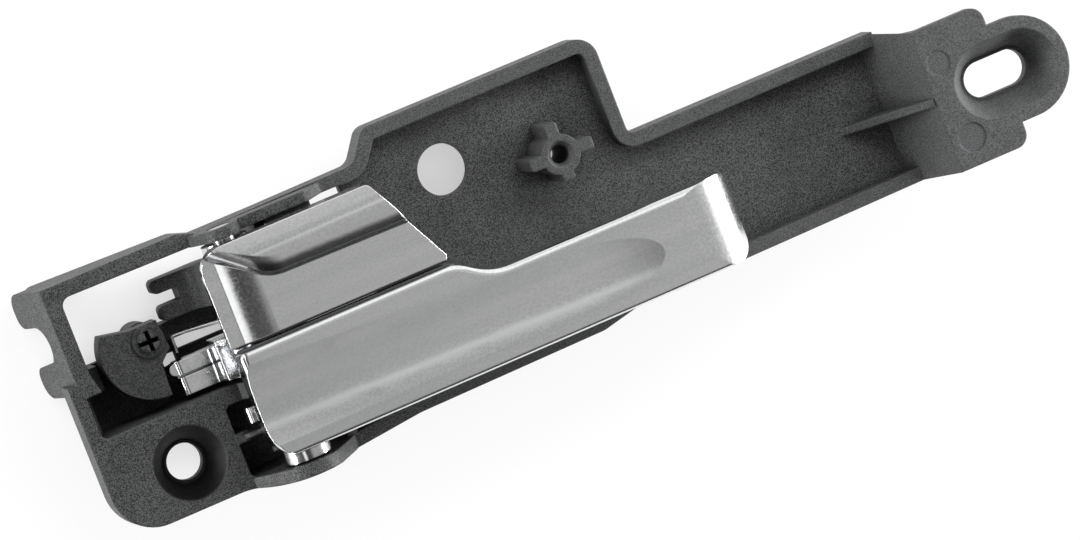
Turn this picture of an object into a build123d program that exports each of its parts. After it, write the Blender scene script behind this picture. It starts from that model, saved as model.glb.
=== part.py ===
from build123d import *
from math import atan, cos, degrees, sin, tau
import os

os.makedirs("parts", exist_ok=True)

# Driving dimensions in mm. X runs along the handle, Y across it, Z towards the cabin; the back is at Z = 0.
# Levels of the housing
FRONT = 16.5  # front of the rims, rails and flange
FLOOR = 12.5  # front of the tray's floor
TRAY = 10.0  # back of the tray's floor
PAD = 27.0  # front of the end pad
RIM = 3.0
WALL = 2.5

# Plan of the housing
LEFT = -111.1
LOW_LEFT = -29.4
LOW_EAR_OUT = -30.45
LOW_RIM = -25.85
TOP_RIM = 7.6
BLOCK_TOP = 30.45
BLOCK_LEFT, BLOCK_RIGHT = -38.4, 19.0
RAIL_LOW, RAIL_TOP = 21.9, 25.1
CREASE_X = 74.4  # foot of the slope up to the end pad
RIM_END = CREASE_X + 2.3  # where the rims die into that slope
PAD_LEFT, PAD_RIGHT = 81.1, 97.6
PAD_LOW, PAD_TOP = -26.1, 5.4
BAY_RIGHT = -62.5
BAY_LOW, BAY_TOP = -8.15, 21.4

# Hinge
PIN_X, PIN_Z = -70.5, 21.0
SHAFT_R = 2.5
RUN = 0.05  # radial running clearance
KEY = 1.9  # half height of the shaft over its flats
PRESS = 0.02  # clearance of the keyed bores
LOW_EAR = (LOW_EAR_OUT, -27.6)
MID_EAR = (-11.65, BAY_LOW)
TOP_EAR = (BAY_TOP, 23.75)

# Fixings
LEFT_SCREW = (-93.0, -19.5)
SCREW_R = 3.85
SLOT = (98.0, -10.4)
SLOT_LENGTH = 14.5
SEAT_DEPTH = 7.0
LOCATOR = (-20.0, 15.6)
LOCATOR_R = 5.45
BOSS = (2.1, 10.1)
BOSS_FRONT = 22.8
PILOT_R = 1.9
CABLE_Y, CABLE_Z, CABLE_R = 13.2, 7.0, 4.3

# Levers
LEVER_FRONT = 31.0
ABOVE = 2 * LEVER_FRONT  # reach of a cut that goes right through
LEVER_BACK = 24.0
LEVER_LEFT, LEVER_TIP = -78.5, 32.3
LEVER_LOW, GRIP_TOP = -24.7, -5.7
GAP_Y, GAP = -0.6, 0.4  # centre and width of the gap between lever and lock tab
SKIN = 2.4
EDGE_R = 1.5
ROLL_WIDTH, ROLL_SLOPE, ROLL_R = 4.6, 0.265, 1.25  # sloped lower edge of the lever
TIP_ROLL, TIP_R = 11.8, 17.5
DISH_DEPTH, DISH_R, DISH_Y = 0.75, 30.0, -14.2
DISH_FALL = 0.9  # how much deeper the dish is at the hinge
DISH_TURN = -1.5
TONGUE = 11.4  # from the dish's rounded end to the lever's tip
SCOOP_DEPTH = 2.6
LOCK_FIELD = LEVER_FRONT - SCOOP_DEPTH
LOCK_TOP = BAY_TOP - 0.5
CREST = (-69.5, 15.8)  # where the lock tab's left roll and its sloped top begin
CROWN_FALL = 2.35  # fall of the tab's crown from its crest to its lower edge
SCOOP_R = 7.3  # roll of the crown into the scoop
LEVER_STOP = (-50.0, -17.0)
LOCK_STOP = (-37.5, 8.0)
STOP_FRONT = 19.55
STOP_R = 2.4

# Cranks and springs
POST = (-91.2, 6.6)
POST_R = 2.1
CRANK_R = 11.0
CRANK_BACK, CRANK_TOP = 7.8, 13.0
ARM_REACH, ARM_DROP = 17.4, 12.8
FORK = (8.5, 17.3)
FORK_GAP = (11.7, 14.4)
FORK_REACH, FORK_DROP = 15.7, 16.3
PULL_COIL_Y = (-18.9, -22.4)
PULL_COIL_R = 3.7
PULL_WIRE_R = 0.68
LOCK_COIL_Y = (2.6, 5.1)
LOCK_COIL_R = 3.3
LOCK_WIRE_R = 0.42
LOCK_LEG = 15.1


def outline(*points):
    """Closed polygon from (x, y, corner radius) points."""
    sketch = make_face(Polyline(*[(x, y) for x, y, r in points], close=True))
    for x, y, r in points:
        if r > 0:
            corner = sketch.vertices().sort_by_distance((x, y, 0))[0]
            sketch = fillet(corner, r)
    return sketch


def up(sketch, z0, z1):
    return extrude(Pos(0, 0, z0) * sketch, amount=z1 - z0)


def block(x0, x1, y0, y1, z0, z1):
    return Pos((x0 + x1) / 2, (y0 + y1) / 2, (z0 + z1) / 2) * Box(x1 - x0, y1 - y0, z1 - z0)


def along_y(sketch, y0, y1):
    """Extrudes a sketch drawn in X and Z from y0 to y1."""
    return extrude(Plane((0, y1, 0), x_dir=(1, 0, 0), z_dir=(0, -1, 0)) * sketch, amount=y1 - y0)


def along_x(sketch, x0, x1):
    """Extrudes a sketch drawn in Y and Z from x0 to x1."""
    return extrude(Plane((x0, 0, 0), x_dir=(0, 1, 0), z_dir=(1, 0, 0)) * sketch, amount=x1 - x0)


def drum(centre, radius, z0, z1):
    return Pos(*centre, (z0 + z1) / 2) * Cylinder(radius, z1 - z0)


def pin_disc(radius, y0, y1):
    """Disc or bar about the shaft's axis."""
    return along_y(Pos(PIN_X, PIN_Z) * Circle(radius), y0, y1)


def keyed(y0, y1):
    """The shaft's flatted section with the keyed bores' clearance."""
    bar = pin_disc(SHAFT_R + PRESS, y0, y1)
    return bar - block(PIN_X - 6, PIN_X + 6, y0 - 1, y1 + 1, PIN_Z + KEY + PRESS, PIN_Z + 9)


def tray_plan(right):
    ear_left, ear_right = PIN_X - 8.5, PIN_X + 10.5
    return outline(
        (LEFT, 4.4, 0),
        (LEFT, LOW_LEFT, 9.5),
        (ear_left - 5, LOW_LEFT, 14),
        (ear_left, LOW_EAR_OUT, 14),
        (ear_right, LOW_EAR_OUT, 8),
        (ear_right + 16, LOW_RIM - 2.95, 10),
        (-1.0, LOW_RIM - 2.45, 4),
        (7.5, LOW_RIM - 0.65, 4),
        (right, LOW_RIM, 0),
        (right, TOP_RIM, 0),
        (BLOCK_RIGHT, TOP_RIM, 1.7),
        (BLOCK_RIGHT, BLOCK_TOP, 4.6),
        (BLOCK_LEFT + 4.4, BLOCK_TOP, 3),
        (BLOCK_LEFT, TOP_EAR[1] + 0.45, 3),
        (PIN_X - 4, TOP_EAR[1], 1),
        (PIN_X - 8, RAIL_TOP, 3),
        (LEFT + 2, RAIL_TOP, 1.5),
        (LEFT + 2, 4.4, 0),
    )


def tray():
    body = up(tray_plan(RIM_END), TRAY, FRONT)
    field = offset(tray_plan(CREASE_X + 16), amount=-RIM)
    body -= up(field, FLOOR, ABOVE) & block(-58, 100, -40, 40, 0, ABOVE)
    # Windows under the two levers
    body -= up(well_plan(), 0, ABOVE)
    body -= block(BAY_RIGHT + 3, -42.0, BAY_LOW + 0.15, BAY_TOP, 0, ABOVE)
    # Mechanism bay
    lower = outline(
        (LEFT + 2.95, 1.1, 0),
        (LEFT + 2.95, BAY_LOW, 1.4),
        (BAY_RIGHT, BAY_LOW, 0),
        (BAY_RIGHT, 1.1, 0),
    )
    body -= up(lower, 0, ABOVE)
    upper = outline(
        (LEFT + 6.7, 0, 0),
        (BAY_RIGHT, 0, 0),
        (BAY_RIGHT, BAY_TOP, 0),
        (LEFT + 5.4, RAIL_LOW, 2),
        (LEFT + 5.4, 5.5, 0),
    )
    body -= up(upper, 0, ABOVE)
    # Hollow behind the flange
    body -= block(LEFT + RIM, -84.6, LOW_LEFT + 2.4, BAY_LOW - 2.25, TRAY - 1, FRONT - 3)
    return body


def well_plan(grow=0.0):
    """Opening under the pull lever's hubs."""
    left, right = PIN_X - 11.7 - grow, PIN_X + 10.1 + grow
    low, high = LOW_EAR[1] - grow, MID_EAR[0] + grow
    return outline((left, low, 1.4), (right, low, 0), (right, high, 0), (left, high, 1.4))


def end_wall():
    """Leaning end wall with the cable notch in its back edge."""
    lean = 3.4
    side = outline(
        (LEFT + 5.4, FRONT, 0),
        (LEFT + 2, FRONT, 0),
        (LEFT + 2 - lean, 0, 0),
        (LEFT + 5.3 - lean, 0, 0),
    )
    face = outline((2.0, 0, 3.5), (2.0, FRONT, 0), (RAIL_TOP, FRONT, 0), (RAIL_TOP, 0, 3.5))
    face -= Pos(CABLE_Y, CABLE_Z) * Circle(CABLE_R)
    face -= Pos(CABLE_Y, CABLE_Z / 2) * Rectangle(2 * CABLE_R, CABLE_Z)
    for edge in (CABLE_Y - CABLE_R, CABLE_Y + CABLE_R):
        face = fillet(face.vertices().sort_by_distance((edge, 0, 0))[0], 2.6)
    return along_y(side, 2.0, RAIL_TOP) & along_x(face, LEFT - 4, LEFT + 11)


def bay():
    """Floor, walls and rails round the cranks."""
    divider = BAY_LOW - 2.25
    walls = block(LEFT + 1.9, -84.0, divider, 5.5, 0, WALL)
    walls += block(-84.8, BAY_RIGHT + 1, divider, 1.4, 0, WALL)
    walls -= block(-88.0, -84.8, -1.2, 1.4, 0, WALL)
    walls += block(LEFT + 1.9, LEFT + 4.4, divider, 5.5, 0, TRAY + 1)
    walls += block(LEFT + 1.9, BAY_RIGHT + 2.5, divider, BAY_LOW, 0, FRONT)
    walls += block(BAY_RIGHT, BAY_RIGHT + 2.5, divider, BAY_TOP + 0.2, 0, 14.0)
    rail = outline(
        (LEFT + 1.6, 0, 0),
        (-76.0, TRAY - 1.5, 0),
        (BAY_RIGHT + 2.5, TRAY, 0),
        (BAY_RIGHT + 2.5, FRONT, 0),
        (LEFT + 1.6, FRONT, 0),
    )
    walls += along_y(rail, RAIL_LOW, RAIL_TOP) & up(tray_plan(CREASE_X), -1, FRONT)
    walls += block(-97.0, BAY_RIGHT + 1.5, 4.35, 8.0, 1.0, 6.5)
    walls += block(LEFT + 6.7, LEFT + 8.8, 0.2, 5.5, 0, CRANK_BACK + 0.2)
    return walls + end_wall()


def spring_well():
    """Closed well under the pull lever's hubs, with a rest for the return spring's leg."""
    shell = up(well_plan(grow=1.5), 0, TRAY + 0.5) - up(well_plan(), WALL, ABOVE)
    rest_x, rest_y = PIN_X - 10.4, PULL_COIL_Y[0]
    rest_top = PIN_Z - PULL_COIL_R - PULL_WIRE_R
    return shell + block(rest_x - 1.5, rest_x + 1.5, rest_y - 1.1, rest_y + 1.1, WALL, rest_top)


def snap_post():
    """Split post that the bell crank clips on."""
    x, y = POST
    post = drum(POST, POST_R + 1.6, 0.5, CRANK_BACK - 0.2) + drum(POST, POST_R, 7, CRANK_TOP + 1.7)
    post += Pos(x, y, CRANK_TOP + 1.0) * Cone(POST_R + 0.45, POST_R - 0.5, 1.4)
    for across, along in ((4, 0.5), (0.5, 4)):
        post -= block(x - across, x + across, y - along, y + along, CRANK_BACK + 1.2, ABOVE)
    return post


def ear(radius, span, half):
    """Hinge ear: a hump on the tray's rim round the shaft's axis."""
    shape = outline(
        (PIN_X - half, TRAY, 0),
        (PIN_X - half, FRONT, 1),
        (PIN_X - radius * 0.78, PIN_Z + radius * 0.62, 0),
        (PIN_X + radius * 0.78, PIN_Z + radius * 0.62, 0),
        (PIN_X + half, FRONT, 1),
        (PIN_X + half, TRAY, 0),
    )
    return along_y(shape, *span) + pin_disc(radius, *span)


def ears():
    body = ear(7.0, LOW_EAR, 11.5) + ear(5.5, MID_EAR, 7.5) + ear(4.1, TOP_EAR, 6.0)
    wall = outline(
        (PIN_X - 3.5, TRAY, 0),
        (PIN_X - 3.5, PIN_Z, 0),
        (-51.0, PIN_Z, 2),
        (-47.0, FRONT, 2),
        (-44.0, FRONT, 0),
        (-44.0, TRAY, 0),
    )
    body += along_y(wall, *TOP_EAR)
    body += block(BAY_RIGHT + 2, -50.5, TOP_EAR[0] - 2.2, TOP_EAR[0] + 0.3, TRAY, PIN_Z - 1.5)
    return body & up(tray_plan(CREASE_X), 0, ABOVE)


def screw_boss():
    """Round boss with four arms of its own height."""
    plan = Circle(PILOT_R + 2.4)
    for turn, length in ((0, 7.4), (90, 6.9), (180, 7.0), (270, 5.7)):
        plan += Rot(0, 0, turn) * Pos(length / 2, 0) * RectangleRounded(length, 2.7, 0.6)
    return up(Pos(*BOSS) * plan, FLOOR - 1, BOSS_FRONT)


def end_pad():
    """Sloped step, pad, slotted ear and gusset at the far end."""
    back = PAD - WALL
    step = outline(
        (CREASE_X - 2.4, TRAY, 0),
        (CREASE_X - 2.4, FLOOR, 0),
        (CREASE_X, FLOOR, 0),
        (PAD_LEFT, PAD, 0),
        (PAD_RIGHT + 1, PAD, 0),
        (PAD_RIGHT + 1, back, 0),
        (PAD_LEFT + 1.8, back, 0),
        (CREASE_X + 1.8, TRAY, 0),
    )
    plan = outline(
        (CREASE_X - 4, LOW_RIM, 0),
        (CREASE_X + 1, LOW_RIM, 1),
        (PAD_LEFT, PAD_LOW, 0),
        (PAD_RIGHT, PAD_LOW, 3),
        (PAD_RIGHT, PAD_TOP, 3),
        (PAD_LEFT, PAD_TOP, 1),
        (CREASE_X + 1, TOP_RIM, 1),
        (CREASE_X - 4, TOP_RIM, 0),
    )
    pad = along_y(step, PAD_LOW - 1, TOP_RIM + 1) & up(plan, 0, ABOVE)
    ear_r = 10.9
    ear_plan = Pos(SLOT[0] + 3.6, SLOT[1]) * Circle(ear_r)
    ear_plan += Pos(SLOT[0] - 1, SLOT[1]) * Rectangle(9.2, 2 * ear_r)
    pad += up(ear_plan, back, PAD)
    gusset = outline(
        (CREASE_X - 10.8, FLOOR - 1, 0),
        (CREASE_X - 10.8, FLOOR, 0),
        (PAD_LEFT - 0.4, PAD, 0),
        (PAD_LEFT + 0.9, PAD - 2, 0),
        (CREASE_X + 1.6, FLOOR - 1, 0),
    )
    return pad + along_y(gusset, SLOT[1] - 0.6, SLOT[1] + 1.1)


def oval(length, width, z):
    return Pos(*SLOT, z) * SlotOverall(length, width)


def slot_cup():
    """Tapered wall that holds the slot's recess."""
    seat_back = PAD - SEAT_DEPTH - 2.4
    return loft([oval(SLOT_LENGTH + 13.5, 20.4, PAD - WALL), oval(SLOT_LENGTH + 8.5, 16.0, seat_back)])


def slot_recess():
    seat = PAD - SEAT_DEPTH
    cone = loft([oval(SLOT_LENGTH + 9.3, 16.2, PAD + 0.01), oval(SLOT_LENGTH + 1.2, 2 * SCREW_R + 1.2, seat)])
    return cone + extrude(oval(SLOT_LENGTH, 2 * SCREW_R, seat - 5), amount=8)


SCREW_SEAT = FRONT - 5.6


def screw_cup():
    """Tapered wall that holds the round hole's recess."""
    depth = FRONT - 0.8 - (SCREW_SEAT - WALL)
    return Pos(*LEFT_SCREW, SCREW_SEAT - WALL + depth / 2) * Cone(SCREW_R + 4.35, SCREW_R + 6.15, depth)


def screw_recess():
    depth = FRONT - SCREW_SEAT + 0.02
    cone = Pos(*LEFT_SCREW, SCREW_SEAT + depth / 2) * Cone(SCREW_R + 0.6, SCREW_R + 4.0, depth)
    return cone + drum(LEFT_SCREW, SCREW_R, 0, ABOVE)


def back_ribs():
    """Ribs down to the back plane that the handle rests on."""
    top = TRAY + 0.5
    left, right = -40.0, CREASE_X - 0.4
    low, mid, high = -21.0, 1.0, 25.0
    ribs = block(left, right, low, low + 2, 0, top) + block(left, right, mid, mid + 2, 0, top)
    ribs += block(-30.0, 15.0, high, high + 2, 0, top)
    for x in (left, -8.0, 32.0, right - 2):
        ribs += block(x, x + 2, low, mid + 2, 0, top)
    for x in (-30.0, 13.0):
        ribs += block(x, x + 2, mid + 1, high + 2, 0, top)
    return ribs


def housing():
    body = tray() + bay() + spring_well() + ears() + screw_boss() + end_pad() + back_ribs()
    body += screw_cup() + slot_cup() + snap_post()
    body -= screw_recess()
    body -= slot_recess()
    body -= drum(LOCATOR, LOCATOR_R, TRAY - 1, FLOOR + 1)
    body -= drum(BOSS, PILOT_R, 0, ABOVE)
    body -= Pos(*BOSS, BOSS_FRONT - 0.6) * Cone(PILOT_R, PILOT_R + 0.9, 1.22)
    # Shaft bearings: blind in the lower ear, through the other two
    body -= pin_disc(SHAFT_R + RUN, LOW_EAR[0] + 0.95, LOW_EAR[1] + 1)
    body -= pin_disc(SHAFT_R + RUN, MID_EAR[0] - 1, TOP_EAR[1] + 1)
    for stop in (LEVER_STOP, LOCK_STOP):
        body -= drum(stop, 1.6, 0, FLOOR + 1)
    # Ejector marks
    body -= drum((PAD_LEFT + 4.9, SLOT[1] - 9.6), 3.1, PAD - 0.15, PAD + 1)
    body -= drum((PAD_LEFT + 3.6, SLOT[1] + 7.7), 2.6, PAD - 0.1, PAD + 1)
    body -= drum((LEFT + 5.7, BAY_LOW - 5.05), 3.1, FRONT - 0.15, FRONT + 1)
    return body


def lever_plan(inset=0.0):
    top = GAP_Y - GAP / 2
    plan = outline(
        (LEVER_LEFT, top, EDGE_R + 0.3),
        (LEVER_LEFT, LEVER_LOW, 6.0),
        (LEVER_TIP, LEVER_LOW, 4.2),
        (LEVER_TIP, GRIP_TOP, EDGE_R + 0.5),
        (-22.3, GRIP_TOP, 13),
        (-29.4, top, 10),
    )
    return offset(plan, amount=-inset) if inset else plan


def lower_roll():
    """Section across the lever, with its sloped and rounded lower edge."""
    turn = atan(ROLL_SLOPE)
    crest = LEVER_LOW + ROLL_WIDTH
    bend = LEVER_LOW + ROLL_R * (1 - sin(turn))
    start = (bend, LEVER_FRONT - (crest - bend) * ROLL_SLOPE)
    edge = JernArc(start, (-1, -ROLL_SLOPE), ROLL_R, 90 - degrees(turn))
    back = Polyline(edge @ 1, (LEVER_LOW, LEVER_BACK), (1, LEVER_BACK), (1, ABOVE), (crest, ABOVE))
    return make_face(back + Polyline((crest, ABOVE), (crest, LEVER_FRONT), start) + edge)


def tip_roll():
    """Side of the lever, with its tip rolled over towards the tray."""
    roll = JernArc((LEVER_TIP - TIP_ROLL, LEVER_FRONT), (1, -0.03), TIP_R, -43.5)
    left, back = LEVER_LEFT - 2, LEVER_BACK - 4
    side = Polyline(roll @ 1, ((roll @ 1).X, back), (left, back), (left, LEVER_FRONT), roll @ 0)
    return make_face(side + roll)


def lever_dish():
    """Shallow dish, deeper at the hinge, that runs out in a rounded tongue before the tip."""
    tongue = LEVER_TIP - TONGUE
    run_out, left = tongue - 24, LEVER_LEFT - 12
    deep, edge = (left, DISH_R + DISH_FALL), (run_out, DISH_R)
    fall = (run_out - left, -DISH_FALL)
    profile = make_face(
        Polyline((tongue, DISH_R - 1.5), (tongue, 0), (left, 0), deep, edge)
        + TangentArc(edge, (tongue, DISH_R - 1.5), tangent=fall)
    )
    centre = (0, DISH_Y, LEVER_FRONT - DISH_DEPTH + DISH_R)
    dish = revolve(Plane(centre, x_dir=(1, 0, 0), z_dir=(0, 1, 0)) * profile, axis=Axis(centre, (1, 0, 0)))
    return dish.rotate(Axis((LEVER_LEFT / 2, DISH_Y, 0), (0, 0, 1)), DISH_TURN)


def lever_skin():
    skin = up(lever_plan(), LEVER_BACK, LEVER_FRONT)
    skin = fillet(skin.faces().sort_by(Axis.Z)[-1].edges(), EDGE_R)
    skin &= along_x(lower_roll(), LEVER_LEFT - 2, LEVER_TIP + 2)
    skin &= along_y(tip_roll(), LEVER_LOW - 1, 1)
    skin -= lever_dish()
    core = outline(
        (LEVER_LOW + SKIN, 20, 0),
        (LEVER_LOW + SKIN, LEVER_FRONT - 5.8, 0),
        (LEVER_LOW + 6.2, LEVER_FRONT - SKIN - 0.6, 0),
        (DISH_Y, LEVER_FRONT - DISH_DEPTH - SKIN, 0),
        (2, LEVER_FRONT - SKIN - 0.4, 0),
        (2, 20, 0),
    )
    return skin - (up(lever_plan(SKIN), 10, ABOVE) & along_x(core, LEVER_LEFT - 2, LEVER_TIP - 4.5))


def hub(y0, y1, radius, web, web_y=None):
    """Hinge eye with a web up to the skin."""
    low, high = web_y or (y0, y1)
    return pin_disc(radius, y0, y1) + block(PIN_X - 4, PIN_X + 4, low, high, PIN_Z, web)


def pull_lever():
    skin = lever_skin()
    # Clear of the bay at its hinged end
    skin -= block(LEVER_LEFT - 2, PIN_X + 8.5, LEVER_LOW - 1, 0, LEVER_BACK - 1, LEVER_BACK + 1.4)
    low_hub = (LOW_EAR[1] + 0.4, LEVER_LOW + 1.2)
    body = skin + hub(*low_hub, 5.2, LEVER_FRONT - 4, (LEVER_LOW + 0.5, low_hub[1]))
    mid_hub = (MID_EAR[0] - 4.55, MID_EAR[0] - 1.35)
    body += hub(*mid_hub, 5.2, LEVER_FRONT - 2)
    # Tail that the return spring's lever leg hooks under
    tail = outline(
        (PIN_X - 8.9, PIN_Z - 2.6, 1),
        (PIN_X, PIN_Z - 4.4, 0),
        (PIN_X, PIN_Z + 3, 0),
        (PIN_X - 8.9, PIN_Z + 0.8, 1),
    )
    body += along_y(tail, *mid_hub)
    body += drum(LEVER_STOP, STOP_R, STOP_FRONT + 0.05, LEVER_FRONT - 2)
    body -= pin_disc(5.9, MID_EAR[1], 0)
    return body - keyed(LOW_EAR[1] - 0.4, MID_EAR[0] - 0.35)


def lock_plan(inset=0.0):
    low = GAP_Y + GAP / 2
    plan = outline(
        (LEVER_LEFT - 0.1, low, 1.2),
        (-29.0, low, 1.2),
        (-40.3, LOCK_TOP, 1.5),
        (LEVER_LEFT - 0.1, LOCK_TOP, 5.2),
    )
    return offset(plan, amount=-inset) if inset else plan


def left_roll(right, front, drop):
    """Side of the lock tab where it rolls down to its left edge."""
    left = LEVER_LEFT - 0.5
    roll = ThreePointArc((right, front), ((right + left) / 2, front - drop / 4), (left, front - drop))
    return roll, left


def lock_skin():
    x, y = CREST
    roll, left = left_roll(x, LEVER_FRONT, 3.2)
    side = Polyline(roll @ 1, (left, LEVER_BACK - 4), (0, LEVER_BACK - 4), (0, ABOVE), (x, ABOVE), roll @ 0)
    crowned = outline(
        (-2, LEVER_BACK - 4, 0),
        (-2, LEVER_FRONT - CROWN_FALL, 0),
        (y, LEVER_FRONT, 14),
        (LOCK_TOP + 0.6, LEVER_FRONT - 1.25, 0),
        (LOCK_TOP + 0.6, LEVER_BACK - 4, 0),
    )
    skin = up(lock_plan(), LEVER_BACK, LEVER_FRONT)
    skin &= along_y(make_face(side + roll), -2, LOCK_TOP + 1)
    skin &= along_x(crowned, left - 1, 0)
    skin -= lock_scoop()
    return skin - up(lock_plan(SKIN), 0, LOCK_FIELD - SKIN - SCOOP_DEPTH / 2)


def scoop_plan(z, foot_y):
    """Scoop's outline at one level: its upper wall sweeps up to the tab's corner."""
    low, left, right = -6, LEVER_LEFT - 12, -18
    bend = CREST[0] + 3.5
    plan = outline(
        (right, low, 0),
        (right, foot_y, 0),
        (bend, foot_y + 0.7, 10),
        (bend - 10.5, foot_y + 9.6, 0),
        (left, foot_y + 20, 0),
        (left, low, 0),
    )
    return Pos(0, 0, z) * plan


def lock_scoop():
    """Finger scoop, open to the lower, slanted and left edges; the crown rolls over into it."""
    slope = CROWN_FALL / (CREST[1] + 2)
    turn = atan(slope)
    mouth_y, mouth_z = CREST[1] - 1.3, LEVER_FRONT - 1.3 * slope
    levels = []
    for angle in (1.08, 0.86, 0.64, 0.42, 0.25, turn):
        y = mouth_y - SCOOP_R * (sin(angle) - sin(turn))
        levels.append(scoop_plan(mouth_z - SCOOP_R * (cos(turn) - cos(angle)), y))
    roll, left = left_roll(CREST[0] + 1.5, LOCK_FIELD, 3.0)
    outer = left - 8
    side = Polyline(roll @ 1, (outer, (roll @ 1).Y), (outer, ABOVE), (0, ABOVE), (0, LOCK_FIELD), roll @ 0)
    return loft(levels) & along_y(make_face(side + roll), -8, ABOVE)


def lock_arm():
    """Arm below the tab's hub that moves the bell crank."""
    end = PIN_X - ARM_REACH
    low, high = PIN_Z - ARM_DROP, PIN_Z - ARM_DROP + 4.2
    side = outline(
        (PIN_X - 3.5, PIN_Z + 1.5, 1),
        (PIN_X - 9.2, high + 2, 0.8),
        (PIN_X - 9.8, high, 0.5),
        (end, high, 1.2),
        (end, low, 1.2),
        (PIN_X - 6, low, 3),
        (PIN_X + 1.5, PIN_Z - 4, 0),
    )
    arm_y = (MID_EAR[1] + 1.15, GAP_Y + 0.9)
    arm = along_y(side, *arm_y)
    # Rib along the arm and the step behind it
    arm -= block(end - 1, PIN_X - 9.8, arm_y[0] + 3.8, arm_y[0] + 4.4, high - 1.2, ABOVE)
    arm += block(PIN_X - 9.2, PIN_X - 4.3, arm_y[0] + 0.3, LOCK_COIL_Y[0] - 0.6, high - 0.4, PIN_Z - 2)
    return arm + drum((end, arm_y[1] - 1.5), 1.3, low + 0.6, high - 0.4)


def lock_lever():
    body = lock_skin()
    body -= block(LEVER_LEFT - 2, PIN_X + 8.5, -2, LOCK_TOP + 1, LEVER_BACK - 1, LEVER_BACK + 1.4)
    coil_side = LOCK_COIL_Y[0] - 0.6
    body += hub(MID_EAR[1] + 0.35, coil_side, 5.0, LEVER_FRONT - 5, (GAP_Y + GAP / 2, coil_side))
    body += hub(LOCK_TOP - 3.2, LOCK_TOP, 5.0, LEVER_FRONT - 4, (LOCK_TOP - 3.2, LOCK_TOP - 0.4))
    body += lock_arm()
    body += drum(LOCK_STOP, STOP_R, STOP_FRONT + 0.05, LOCK_FIELD - 1)
    return body - pin_disc(SHAFT_R + RUN, MID_EAR[1] - 1, LOCK_TOP + 1)


CLIP_Y = (MID_EAR[0] - 1.05, MID_EAR[0] - 0.45)
GROOVE_R = KEY


def pivot_shaft():
    shaft = pin_disc(SHAFT_R, LOW_EAR[0] + 1.05, TOP_EAR[1] - 0.15)
    groove = pin_disc(2 * SHAFT_R, CLIP_Y[0] - 0.05, CLIP_Y[1] + 0.05)
    shaft -= groove - pin_disc(GROOVE_R, CLIP_Y[0] - 1, CLIP_Y[1] + 1)
    for y0, y1 in ((LOW_EAR[1] + 0.3, MID_EAR[0] - 1.35), (FORK[0] - 0.1, FORK[1] + 0.2)):
        shaft -= block(PIN_X - 4, PIN_X + 4, y0, y1, PIN_Z + KEY, PIN_Z + 5)
    return shaft


def shaft_clip():
    ring = pin_disc(4.2, *CLIP_Y) - pin_disc(GROOVE_R + PRESS, CLIP_Y[0] - 1, CLIP_Y[1] + 1)
    return ring - block(PIN_X - 1.6, PIN_X + 1.6, CLIP_Y[0] - 1, CLIP_Y[1] + 1, PIN_Z - 6, PIN_Z)


def latch_crank():
    """Forked crank keyed to the shaft; the latch cable's end sits between its fingers."""
    tip = PIN_X - FORK_REACH
    low = PIN_Z - FORK_DROP
    arm = outline(
        (PIN_X - 3.7, PIN_Z + 1, 1),
        (PIN_X - 7.5, low + 5.9, 3),
        (tip, low + 4.7, 2.2),
        (tip, low, 2.2),
        (PIN_X - 3, low, 4),
        (PIN_X + 4, PIN_Z - 2, 1),
    )
    plan = Sketch()
    for y0, y1 in ((FORK[0], FORK_GAP[0]), (FORK_GAP[1], FORK[1])):
        plan += outline((tip, y0, 1.4), (PIN_X + 6, y0, 0), (PIN_X + 6, y1, 0), (tip, y1, 1.4))
    plan += Pos(PIN_X - 2.25, sum(FORK) / 2) * Rectangle(16.5, FORK[1] - FORK[0])
    body = along_y(arm, *FORK) & up(plan, 0, ABOVE)
    body += pin_disc(SHAFT_R + 1.9, *FORK)
    return body - keyed(FORK[0] - 0.5, FORK[1] + 0.7)


def lock_bell_crank():
    """Sector on the snap post; its finger meets the lock tab's arm."""
    r = CRANK_R
    wedge = outline(
        (0.29 * r, 0.31 * r, 0),
        (-0.25 * r, 0.31 * r, 1),
        (-1.5 * r, 0.56 * r, 0),
        (-1.5 * r, -1.5 * r, 0),
        (0.055 * r, -1.5 * r, 0),
        (0.09 * r, -0.5 * r, 2),
        (0.35 * r, -0.27 * r, 0),
    )
    sector = wedge & Pos(0.027 * r, -0.11 * r) * Circle(r)
    body = up(Pos(*POST) * sector, CRANK_BACK, CRANK_TOP - 0.6)
    body += drum(POST, POST_R + 1.4, CRANK_BACK, CRANK_TOP)
    return body - drum(POST, POST_R + 0.06, 0, ABOVE)


def coil_points(span, mean, side, turns=2.5, chords=20):
    """Points round the shaft along span, starting at its cabin side (1) or its back (-1)."""
    y0, y1 = span
    count = round(turns * chords)
    for i in range(count + 1):
        angle = i / chords * tau
        yield (PIN_X + mean * sin(angle), y0 + (y1 - y0) * i / count, PIN_Z + side * mean * cos(angle))


def spring_wire(points, radius):
    """Eight-sided wire with mitred bends."""
    path = Polyline(*points)
    section = Plane(origin=path @ 0, z_dir=path % 0) * RegularPolygon(radius, 8)
    return sweep(section, path=path, transition=Transition.RIGHT)


def pull_return_spring():
    mean = PULL_COIL_R
    housing_leg = (PIN_X - 10.1, PULL_COIL_Y[0], PIN_Z - mean)
    lever_leg = (PIN_X - 7.1, PULL_COIL_Y[1], PIN_Z + mean)
    return spring_wire([housing_leg, *coil_points(PULL_COIL_Y, mean, -1), lever_leg], PULL_WIRE_R)


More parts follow.
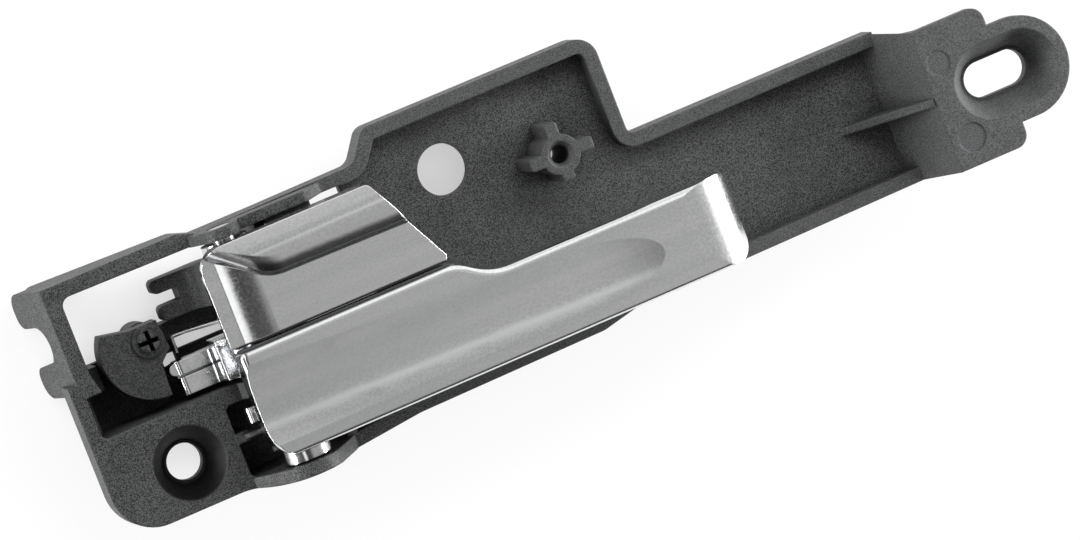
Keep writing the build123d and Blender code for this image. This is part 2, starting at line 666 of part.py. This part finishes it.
def lock_detent_spring():
    y0, y1 = LOCK_COIL_Y
    mean = LOCK_COIL_R
    tab_leg = (PIN_X - 5.1, y0, PIN_Z + mean)
    foot_x, foot_z = PIN_X - LOCK_LEG, PIN_Z - 12
    rail_leg = [
        (PIN_X - 4.5, y1, PIN_Z - mean),
        (foot_x + 2.6, y1, foot_z),
        (foot_x, y1, foot_z),
        (foot_x, y1 - 3.5, foot_z - 0.4),
    ]
    return spring_wire([tab_leg, *coil_points(LOCK_COIL_Y, mean, 1), *rail_leg], LOCK_WIRE_R)


def bumper(centre):
    """Rubber stop plugged into the tray's floor."""
    body = drum(centre, 3.0, FLOOR, STOP_FRONT - 1.95) + drum(centre, 2.2, FLOOR + 1, STOP_FRONT)
    return body + drum(centre, 1.6, TRAY - 0.5, FLOOR + 0.5)


parts = {
    "housing": housing(),
    "pull_lever": pull_lever(),
    "lock_lever": lock_lever(),
    "pivot_shaft": pivot_shaft(),
    "shaft_clip": shaft_clip(),
    "latch_crank": latch_crank(),
    "lock_bell_crank": lock_bell_crank(),
    "pull_return_spring": pull_return_spring(),
    "lock_detent_spring": lock_detent_spring(),
    "lever_bumper": bumper(LEVER_STOP),
    "lock_bumper": bumper(LOCK_STOP),
}
for name, shape in parts.items():
    export_step(shape, f"parts/{name}.step")
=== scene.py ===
import math

import bpy
from mathutils import Matrix, Vector


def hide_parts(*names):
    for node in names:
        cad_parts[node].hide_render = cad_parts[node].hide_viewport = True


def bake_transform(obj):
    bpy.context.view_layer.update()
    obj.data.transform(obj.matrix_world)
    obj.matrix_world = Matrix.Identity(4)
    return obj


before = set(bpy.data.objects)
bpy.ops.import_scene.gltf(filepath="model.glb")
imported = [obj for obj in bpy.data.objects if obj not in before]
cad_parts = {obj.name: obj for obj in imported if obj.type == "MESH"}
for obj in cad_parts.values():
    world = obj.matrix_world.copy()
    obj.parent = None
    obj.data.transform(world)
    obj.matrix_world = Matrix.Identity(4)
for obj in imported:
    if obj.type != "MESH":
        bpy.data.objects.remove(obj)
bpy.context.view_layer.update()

# The frame is in metres: X along the handle, Y across it, Z towards the cabin
MM = 0.001

# Camera of the photograph
LOOK_AT = Vector((-8.725, -11.606, 14.0)) * MM
TOWARDS_CAMERA = Vector((-0.26, 0.14, 1.0)).normalized()
CAMERA_DISTANCE = 1.3
CAMERA_ROLL = math.radians(23.2)
CAMERA_LENS = 208.0
SENSOR_WIDTH = 36.0


def photo_camera():
    """Camera at the photograph's viewing angle, rolled so that the handle climbs to the right."""
    data = bpy.data.cameras.new("photo_camera")
    data.lens = CAMERA_LENS
    data.sensor_width = SENSOR_WIDTH
    data.clip_end = 10.0
    camera = bpy.data.objects.new("photo_camera", data)
    bpy.context.scene.collection.objects.link(camera)
    along = (Vector((1, 0, 0)) - TOWARDS_CAMERA.x * TOWARDS_CAMERA).normalized()
    across = TOWARDS_CAMERA.cross(along)
    right = math.cos(CAMERA_ROLL) * along - math.sin(CAMERA_ROLL) * across
    up = math.sin(CAMERA_ROLL) * along + math.cos(CAMERA_ROLL) * across
    turn = Matrix((right, up, TOWARDS_CAMERA)).transposed().to_4x4()
    camera.matrix_world = Matrix.Translation(LOOK_AT + CAMERA_DISTANCE * TOWARDS_CAMERA) @ turn
    bpy.context.scene.camera = camera


class Nodes:
    """Shorthand for placing and linking shader nodes in one tree."""

    def __init__(self, tree):
        self.tree = tree

    def add(self, kind, **values):
        node = self.tree.nodes.new(kind)
        for name, value in values.items():
            setattr(node, name, value)
        return node

    def set(self, node, **inputs):
        for name, value in inputs.items():
            socket = node.inputs[name.replace("_", " ")]
            if isinstance(value, bpy.types.NodeSocket):
                self.tree.links.new(value, socket)
            else:
                socket.default_value = value
        return node

    def link(self, output, node, socket):
        self.tree.links.new(output, node.inputs[socket])

    def math(self, operation, a, b=None):
        node = self.add("ShaderNodeMath", operation=operation)
        for index, value in enumerate((a, b)):
            if isinstance(value, bpy.types.NodeSocket):
                self.tree.links.new(value, node.inputs[index])
            elif value is not None:
                node.inputs[index].default_value = value
        return node.outputs[0]

    def spread(self, value, low, high, to_low, to_high):
        node = self.add("ShaderNodeMapRange", clamp=True)
        self.tree.links.new(value, node.inputs["Value"])
        for name, number in (("From Min", low), ("From Max", high), ("To Min", to_low), ("To Max", to_high)):
            node.inputs[name].default_value = number
        return node.outputs["Result"]

    def mix(self, factor, a, b):
        node = self.add("ShaderNodeMix", data_type="RGBA")
        for index, value in ((0, factor), (6, a), (7, b)):
            if isinstance(value, bpy.types.NodeSocket):
                self.tree.links.new(value, node.inputs[index])
            else:
                node.inputs[index].default_value = value
        return node.outputs[2]

    def blend_normals(self, factor, a, b):
        node = self.add("ShaderNodeMix", data_type="VECTOR")
        for index, value in ((0, factor), (4, a), (5, b)):
            self.tree.links.new(value, node.inputs[index])
        return node.outputs[1]

    def place(self):
        """The frame's own coordinates, in metres."""
        return self.add("ShaderNodeTexCoord").outputs["Object"]

    def axes(self, vector):
        """X, Y and Z of a vector, each as a value."""
        parts = self.add("ShaderNodeSeparateXYZ")
        self.link(vector, parts, 0)
        return parts.outputs


def new_group(name, inputs, outputs):
    group = bpy.data.node_groups.new(name, "ShaderNodeTree")
    for label, value in inputs:
        socket = group.interface.new_socket(label, in_out="INPUT", socket_type="NodeSocketFloat")
        socket.default_value = value
    for label in outputs:
        kind = "NodeSocketVector" if label == "Normal" else "NodeSocketFloat"
        group.interface.new_socket(label, in_out="OUTPUT", socket_type=kind)
    nodes = Nodes(group)
    return nodes, nodes.add("NodeGroupInput"), nodes.add("NodeGroupOutput")


CLOUD_PER_GRAIN = 0.06  # the cloudiness has this share of the grain's scale
EDGE_REACH = 1.5 * MM  # an edge with a neighbour closer than this is not an outer one


def grain_group():
    """Spark-eroded mould grain: a height for bump, a fine speckle and a slow cloudiness."""
    nodes, source, result = new_group("mould_grain", [("Scale", 1500.0)], ["Height", "Speckle", "Cloud"])
    place = nodes.place()
    scale = source.outputs["Scale"]
    fine = nodes.set(nodes.add("ShaderNodeTexNoise"), Vector=place, Scale=scale, Detail=3.0, Roughness=0.8)
    cloud_scale = nodes.math("MULTIPLY", scale, CLOUD_PER_GRAIN)
    cloud = nodes.set(nodes.add("ShaderNodeTexNoise"), Vector=place, Scale=cloud_scale, Detail=3.0)
    nodes.link(fine.outputs["Fac"], result, "Height")
    nodes.link(nodes.spread(fine.outputs["Fac"], 0.41, 0.59, 0.0, 1.0), result, "Speckle")
    nodes.link(nodes.spread(cloud.outputs["Fac"], 0.3, 0.7, 0.0, 1.0), result, "Cloud")
    return nodes.tree


def edge_group():
    """Outer edges: a rounded normal, and a mask of how far it leaves the face's own, where the plastics get a
    painted highlight.
    """
    nodes, source, result = new_group("edge_catch", [("Radius", 0.0006)], ["Mask", "Normal"])
    bevel = nodes.set(nodes.add("ShaderNodeBevel", samples=6), Radius=source.outputs["Radius"])
    rounded = bevel.outputs["Normal"]
    face = nodes.add("ShaderNodeNewGeometry")
    open_sky = nodes.set(nodes.add("ShaderNodeAmbientOcclusion", samples=6), Distance=EDGE_REACH)
    outer = nodes.spread(open_sky.outputs["AO"], 0.7, 0.95, 0.0, 1.0)
    dot = nodes.add("ShaderNodeVectorMath", operation="DOT_PRODUCT")
    nodes.tree.links.new(rounded, dot.inputs[0])
    nodes.tree.links.new(face.outputs["True Normal"], dot.inputs[1])
    bent = nodes.spread(dot.outputs["Value"], 0.6, 1.0, 1.0, 0.0)
    nodes.link(nodes.math("MULTIPLY", bent, outer), result, "Mask")
    nodes.link(nodes.blend_normals(outer, face.outputs["Normal"], rounded), result, "Normal")
    return nodes.tree


def recess_group():
    """Mask of pockets and corners from ambient occlusion, where shade is painted into the colour; the plastics
    also turn rougher there.
    """
    nodes, source, result = new_group("recess_depth", [("Reach", 0.012)], ["Mask"])
    shade = nodes.set(nodes.add("ShaderNodeAmbientOcclusion", samples=8), Distance=source.outputs["Reach"])
    nodes.link(nodes.spread(shade.outputs["AO"], 0.12, 0.68, 1.0, 0.0), result, "Mask")
    return nodes.tree


def streak_group():
    """Long soft streaks along the handle, as polishing leaves them."""
    nodes, source, result = new_group("polish_streaks", [("Count", 260.0)], ["Streak"])
    drawn = nodes.add("ShaderNodeMapping")
    drawn.inputs["Scale"].default_value = (0.05, 1.0, 0.3)
    nodes.link(nodes.place(), drawn, "Vector")
    noise = nodes.set(nodes.add("ShaderNodeTexNoise"), Vector=drawn.outputs[0], Detail=3.0)
    nodes.set(noise, Scale=source.outputs["Count"])
    nodes.link(nodes.spread(noise.outputs["Fac"], 0.3, 0.7, 0.0, 1.0), result, "Streak")
    return nodes.tree


GRAIN = grain_group()
EDGE = edge_group()
RECESS = recess_group()
STREAKS = streak_group()


def new_material(name):
    material = bpy.data.materials.new(name)
    material.use_nodes = True
    nodes = Nodes(material.node_tree)
    return material, nodes, material.node_tree.nodes["Principled BSDF"]


def placed(nodes, group, **values):
    node = nodes.add("ShaderNodeGroup")
    node.node_tree = group
    return nodes.set(node, **values)


def grey(level, warmth=-0.02):
    return (level * (1 + warmth), level, level * (1 - warmth), 1)


# Where painted shade, painted light and the plating's waviness change on the part, in metres, as (from, to) of
# the place where they fade
SCREW_SEAT_CENTRE = (-93.0 * MM, -19.5 * MM, 0.0)
SCREW_SEAT_EDGE = (7.5 * MM, 8.1 * MM)
RIM_LEVEL = (15.0 * MM, 16.4 * MM)
RIM_START = (-60.0 * MM, -30.0 * MM)
SLIT_MIDDLE = -0.6 * MM
SLIT_REACH = (0.55 * MM, 0.8 * MM)
SLIT_BOTTOM = (25.5 * MM, 26.5 * MM)
HUB_TOP = (22.5 * MM, 25.5 * MM)


def screw_seat_shade(nodes):
    """Mask of the smooth conical seat round the round screw hole, which is painted near-black as shade."""
    flat = nodes.add("ShaderNodeVectorMath", operation="MULTIPLY")
    nodes.link(nodes.place(), flat, 0)
    flat.inputs[1].default_value = (1, 1, 0)
    reach = nodes.add("ShaderNodeVectorMath", operation="DISTANCE")
    nodes.link(flat.outputs[0], reach, 0)
    reach.inputs[1].default_value = SCREW_SEAT_CENTRE
    return nodes.spread(reach.outputs["Value"], *SCREW_SEAT_EDGE, 1.0, 0.0)


def rim_painted_light(nodes):
    """Mask of the tray's rims and pad, higher up and further along the handle, where painted light makes the
    plastic paler.
    """
    axes = nodes.axes(nodes.place())
    high = nodes.spread(axes["Z"], *RIM_LEVEL, 0.0, 1.0)
    return nodes.math("MULTIPLY", high, nodes.spread(axes["X"], *RIM_START, 0.0, 1.0))


EDGE_HIGHLIGHT = 0.45  # how far an outer edge takes the painted highlight tone
FILM_ROUGHNESS = 0.9  # of the dull film in pockets
GLOSS_SPREAD = 0.08  # a bright speckle is this much glossier, a dark one this much duller
RELIEF_DEPTH = 0.1 * MM


def moulded_plastic(name, dark, light, pocket_shade, edge_highlight_tone, grain_scale, roughness, bump, marks=()):
    """Moulded plastic or rubber: speckled grain, a painted highlight on outer edges, painted shade and a duller
    film in pockets.
    """
    material, nodes, shader = new_material(name)
    grain = placed(nodes, GRAIN, Scale=grain_scale)
    edge = placed(nodes, EDGE, Radius=0.6 * MM)
    recess = placed(nodes, RECESS, Reach=11.0 * MM)
    clouded = nodes.spread(grain.outputs["Cloud"], 0.0, 1.0, 0.8, 1.0)
    speckle = nodes.math("MULTIPLY", grain.outputs["Speckle"], clouded)
    tone = nodes.mix(speckle, grey(dark), grey(light))
    for mark, weight, level in marks:
        tone = nodes.mix(nodes.math("MULTIPLY", mark(nodes), weight), tone, grey(level))
    # Painted highlight: outer edges are lightened towards the edge highlight tone.
    tone = nodes.mix(nodes.math("MULTIPLY", edge.outputs["Mask"], EDGE_HIGHLIGHT), tone, grey(edge_highlight_tone))
    # Painted shade: pockets and corners are darkened towards the pocket shade tone.
    nodes.set(shader, Base_Color=nodes.mix(recess.outputs["Mask"], tone, grey(pocket_shade)))
    dull_film_and_shade = nodes.math("MULTIPLY", recess.outputs["Mask"], FILM_ROUGHNESS)
    worn = nodes.spread(speckle, 0.0, 1.0, roughness + GLOSS_SPREAD, roughness - GLOSS_SPREAD)
    nodes.set(shader, Roughness=nodes.math("MAXIMUM", worn, dull_film_and_shade), Specular_IOR_Level=0.25)
    relief = nodes.set(nodes.add("ShaderNodeBump"), Strength=bump, Distance=RELIEF_DEPTH)
    nodes.set(relief, Height=grain.outputs["Height"], Normal=edge.outputs["Normal"])
    nodes.set(shader, Normal=relief.outputs["Normal"])
    return material


def slit_painted_shade(nodes):
    """Mask of the edges that face each other across the slit between the two levers, where dark shade is painted
    and the plating turns rougher.
    """
    axes = nodes.axes(nodes.place())
    away = nodes.math("ABSOLUTE", nodes.math("SUBTRACT", axes["Y"], SLIT_MIDDLE))
    near = nodes.spread(away, *SLIT_REACH, 1.0, 0.0)
    return nodes.math("MULTIPLY", near, nodes.spread(axes["Z"], *SLIT_BOTTOM, 0.0, 1.0))


def waviness(nodes):
    """How wavy the plating is: slightly on the levers' fronts, fully on the hubs and arms below them."""
    return nodes.spread(nodes.axes(nodes.place())["Z"], *HUB_TOP, 1.0, 0.1)


PLATING_DEEP = (0.67, 0.68, 0.70, 1)
PLATING_PALE = (0.88, 0.885, 0.885, 1)
# Near-black tone of the painted shade in the plating's recesses and slit
PLATING_SHADE = (0.05, 0.051, 0.054, 1)
SHADE_COVER = 0.94
STEEL_DEEP = (0.38, 0.38, 0.38, 1)
STEEL_PALE = (0.56, 0.56, 0.55, 1)


def bright_plating(name):
    """Bright plating on moulded plastic: long polish streaks, a faint waviness, painted shade in its recesses and
    in the slit between the levers.
    """
    material, nodes, shader = new_material(name)
    grain = placed(nodes, GRAIN, Scale=1900.0)
    edge = placed(nodes, EDGE, Radius=0.3 * MM)
    recess = placed(nodes, RECESS, Reach=6.0 * MM)
    streaks = placed(nodes, STREAKS, Count=260.0)
    sheen = nodes.math("ADD", streaks.outputs["Streak"], grain.outputs["Speckle"])
    tint = nodes.mix(nodes.math("MULTIPLY", sheen, 0.5), PLATING_DEEP, PLATING_PALE)
    shaded_slit = slit_painted_shade(nodes)
    # Painted shade: recesses and the slit are darkened to near black.
    dull_film_and_shade = nodes.math("MULTIPLY", nodes.math("MAXIMUM", recess.outputs["Mask"], shaded_slit), SHADE_COVER)
    nodes.set(shader, Metallic=1.0, Base_Color=nodes.mix(dull_film_and_shade, tint, PLATING_SHADE))
    polish = nodes.spread(grain.outputs["Speckle"], 0.0, 1.0, 0.12, 0.19)
    nodes.set(shader, Roughness=nodes.math("MAXIMUM", polish, shaded_slit))
    ripple = nodes.set(nodes.add("ShaderNodeBump"), Strength=1.0, Distance=RELIEF_DEPTH)
    height = nodes.math("MULTIPLY", grain.outputs["Cloud"], waviness(nodes))
    nodes.set(ripple, Height=height, Normal=edge.outputs["Normal"])
    nodes.set(shader, Normal=ripple.outputs["Normal"])
    return material


def drawn_steel(name):
    """Bare steel of the shaft, clip and springs, with fine drawing streaks."""
    material, nodes, shader = new_material(name)
    streaks = placed(nodes, STREAKS, Count=900.0)
    tint = nodes.mix(streaks.outputs["Streak"], STEEL_DEEP, STEEL_PALE)
    nodes.set(shader, Metallic=1.0, Base_Color=tint)
    nodes.set(shader, Roughness=nodes.spread(streaks.outputs["Streak"], 0.0, 1.0, 0.24, 0.4))
    return material


# Each mark is a mask, its weight and its tone: painted shade in the screw seat, painted light on the rims
HOUSING_MARKS = [(screw_seat_shade, 0.97, 0.001), (rim_painted_light, 0.35, 0.06)]
HOUSING = moulded_plastic("housing_plastic", dark=0.006, light=0.106, pocket_shade=0.001, edge_highlight_tone=0.085,
                          grain_scale=3500.0, roughness=0.5, bump=0.5, marks=HOUSING_MARKS)
CRANK = moulded_plastic("crank_plastic", dark=0.014, light=0.09, pocket_shade=0.006, edge_highlight_tone=0.06,
                        grain_scale=3500.0, roughness=0.5, bump=0.3)
RUBBER = moulded_plastic("bumper_rubber", dark=0.016, light=0.026, pocket_shade=0.008, edge_highlight_tone=0.03,
                         grain_scale=1200.0, roughness=0.7, bump=0.2)
CHROME = bright_plating("bright_plating")
STEEL = drawn_steel("drawn_steel")

FINISHES = {
    "housing": HOUSING,
    "pull_lever": CHROME,
    "lock_lever": CHROME,
    "pivot_shaft": STEEL,
    "shaft_clip": STEEL,
    "latch_crank": CRANK,
    "lock_bell_crank": CRANK,
    "lever_bumper": RUBBER,
    "lock_bumper": RUBBER,
}


def dress():
    """Give each CAD mesh its finish."""
    for name, material in FINISHES.items():
        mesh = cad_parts[name].data
        mesh.materials.clear()
        mesh.materials.append(material)


# Springs of round wire about the shaft, in millimetres: (along, across, out) from its axis
SHAFT = Vector((-70.5, 0.0, 21.0))
RETURN_WIRE_RADIUS = 0.66
RETURN_COIL = {"across": (-18.9, -22.4), "radius": 3.7, "side": -1}
RETURN_HOUSING_LEG = [(-10.1, -18.9, -3.7)]
RETURN_LEVER_LEG = [(-7.1, -22.4, 3.7)]
RETURN_WINDS = {"start": (0, -19.6, 0), "end": (0, -21.7, 0)}
DETENT_WIRE_RADIUS = 0.41
DETENT_COIL = {"across": (2.6, 5.1), "radius": 3.3, "side": 1}
DETENT_TAB_LEG = [(-5.1, 2.6, 3.3)]
DETENT_RAIL_LEG = [(-4.5, 5.1, -3.3), (-12.5, 5.1, -12.0), (-15.1, 5.1, -12.0), (-15.1, 1.6, -12.4)]
DETENT_WINDS = {"start": (0, 5.7, 0), "end": (0.41, 3.66, 0.41)}


def coil_turns(across, radius, side, turns=2.5, steps=28):
    """Points of the coil, which starts at the shaft's cabin side (1) or at its back (-1)."""
    count = round(turns * steps)
    for i in range(count + 1):
        angle = i / steps * math.tau
        level = across[0] + (across[1] - across[0]) * i / count
        yield (radius * math.sin(angle), level, side * radius * math.cos(angle))


def spring(name, node, body, points, wire_radius, start, end):
    """Round-wire spring between its leg on the housing and its leg on a moving body, shown in place of the CAD
    spring.
    """
    curve = bpy.data.curves.new(name, "CURVE")
    curve.dimensions = "3D"
    curve.bevel_depth = wire_radius * MM
    curve.bevel_resolution = 3
    curve.use_fill_caps = True
    spline = curve.splines.new("POLY")
    spline.points.add(len(points) - 1)
    for knot, point in zip(spline.points, points):
        knot.co = (*((SHAFT + Vector(point)) * MM), 1)
    wire = bpy.data.objects.new(name + "_wire", curve)
    mesh = bpy.data.meshes.new_from_object(wire)
    bpy.data.objects.remove(wire)
    mesh.materials.clear()
    mesh.materials.append(STEEL)
    mesh.shade_smooth()
    piece = bpy.data.objects.new(name, mesh)
    bpy.context.scene.collection.objects.link(piece)
    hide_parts(node)
    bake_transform(piece)


def springs():
    points = [*RETURN_HOUSING_LEG, *coil_turns(**RETURN_COIL), *RETURN_LEVER_LEG]
    spring("return_spring", "pull_return_spring", "pull", points, RETURN_WIRE_RADIUS, **RETURN_WINDS)
    points = [*DETENT_TAB_LEG, *coil_turns(**DETENT_COIL), *DETENT_RAIL_LEG]
    spring("detent_spring", "lock_detent_spring", "lock", points, DETENT_WIRE_RADIUS, **DETENT_WINDS)


FLOOR_SIZE = 6.0
FLOOR_LEVEL = -0.2 * MM
FLOOR_GREY = (0.86, 0.86, 0.86, 1)
CONTACT_REACH = 30.0 * MM


def floor():
    """White paper to the camera and in reflections, which keeps the part's contact shadow; its glow dims where
    ambient occlusion is low, painting more shade under and inside the part.
    """
    bpy.ops.mesh.primitive_plane_add(size=FLOOR_SIZE, location=(0, 0, FLOOR_LEVEL))
    plane = bpy.context.object
    plane.name = "studio_floor"
    material, nodes, shader = new_material("studio_floor")
    nodes.set(shader, Base_Color=FLOOR_GREY, Roughness=0.9)
    glow = nodes.set(nodes.add("ShaderNodeEmission"), Strength=1.0)
    path = nodes.add("ShaderNodeLightPath")
    seen = nodes.math("MAXIMUM", path.outputs["Is Camera Ray"], path.outputs["Is Glossy Ray"])
    seen = nodes.math("MAXIMUM", seen, path.outputs["Is Transmission Ray"])
    shade = nodes.set(nodes.add("ShaderNodeAmbientOcclusion", samples=8), Distance=CONTACT_REACH)
    # Painted shade: less glow where the part hides the floor.
    lift = nodes.math("MULTIPLY", seen, nodes.spread(shade.outputs["AO"], 0.05, 0.4, 0.45, 0.88))
    blend = nodes.add("ShaderNodeMixShader")
    nodes.tree.links.new(lift, blend.inputs[0])
    nodes.tree.links.new(shader.outputs[0], blend.inputs[1])
    nodes.tree.links.new(glow.outputs[0], blend.inputs[2])
    nodes.link(blend.outputs[0], nodes.tree.nodes["Material Output"], "Surface")
    plane.data.materials.append(material)


SOFTBOXES = [
    {"name": "upper_softbox", "location": (0.35, 0.75, 0.75), "size": (1.4, 0.5), "watts": 12, "mirrored": False},
    {"name": "left_softbox", "location": (-0.9, 0.1, 0.16), "size": (0.9, 0.22), "watts": 11, "mirrored": True},
    {"name": "right_softbox", "location": (0.55, -0.05, 0.16), "size": (0.7, 0.16), "watts": 7, "mirrored": True},
]


def softbox(name, location, size, watts, mirrored):
    """Soft lamp that faces the part, with or without its own mirror image in the bright pieces."""
    data = bpy.data.lights.new(name, "AREA")
    data.shape = "RECTANGLE"
    data.size, data.size_y = size
    data.energy = watts
    lamp = bpy.data.objects.new(name, data)
    bpy.context.scene.collection.objects.link(lamp)
    lamp.visible_glossy = mirrored
    lamp.location = location
    lamp.rotation_euler = (-Vector(location)).to_track_quat("-Z", "Y").to_euler()


STUDIO_WHITE = (1, 0.995, 0.985, 1)
# Brightness of the studio round the part: along the handle from its hinged end, and across it from below
STUDIO_ALONG = [(-1.0, 0.22), (-0.54, 0.06), (-0.48, 1.40), (-0.38, 1.40), (-0.31, 0.05), (0.04, 0.10),
                (0.18, 0.45), (0.34, 0.49), (0.66, 0.44), (0.80, 0.55), (0.92, 1.0), (1.0, 1.2)]
STUDIO_ACROSS = [(-1.0, 0.08), (-0.84, 0.14), (-0.66, 0.98), (-0.30, 1.0), (0.05, 1.0), (0.085, 1.8),
                 (0.115, 1.8), (0.15, 1.0), (0.22, 1.0), (0.40, 1.6), (0.55, 2.6), (0.85, 2.6), (1.0, 1.6)]


def brightness(nodes, value, stops):
    """Piecewise brightness of a direction's component between -1 and 1."""
    top = max(level for _, level in stops)
    ramp = nodes.add("ShaderNodeValToRGB")
    elements = ramp.color_ramp.elements
    while len(elements) < len(stops):
        elements.new(0.5)
    for element, (place, level) in zip(elements, stops):
        element.position = (place + 1) / 2
        element.color = (level / top, level / top, level / top, 1)
    nodes.link(nodes.spread(value, -1.0, 1.0, 0.0, 1.0), ramp, "Fac")
    return nodes.math("MULTIPLY", ramp.outputs["Color"], top)


def studio():
    """Soft room round the part, and its lamps."""
    world = bpy.data.worlds.new("studio")
    bpy.context.scene.world = world
    world.use_nodes = True
    nodes = Nodes(world.node_tree)
    axes = nodes.axes(nodes.add("ShaderNodeTexCoord").outputs["Generated"])
    along = brightness(nodes, axes["X"], STUDIO_ALONG)
    across = brightness(nodes, axes["Y"], STUDIO_ACROSS)
    background = world.node_tree.nodes["Background"]
    nodes.set(background, Color=STUDIO_WHITE, Strength=nodes.math("MULTIPLY", along, across))
    for lamp in SOFTBOXES:
        softbox(**lamp)


photo_camera()
dress()
springs()
floor()
studio()
bpy.context.scene.view_settings.view_transform = "Standard"
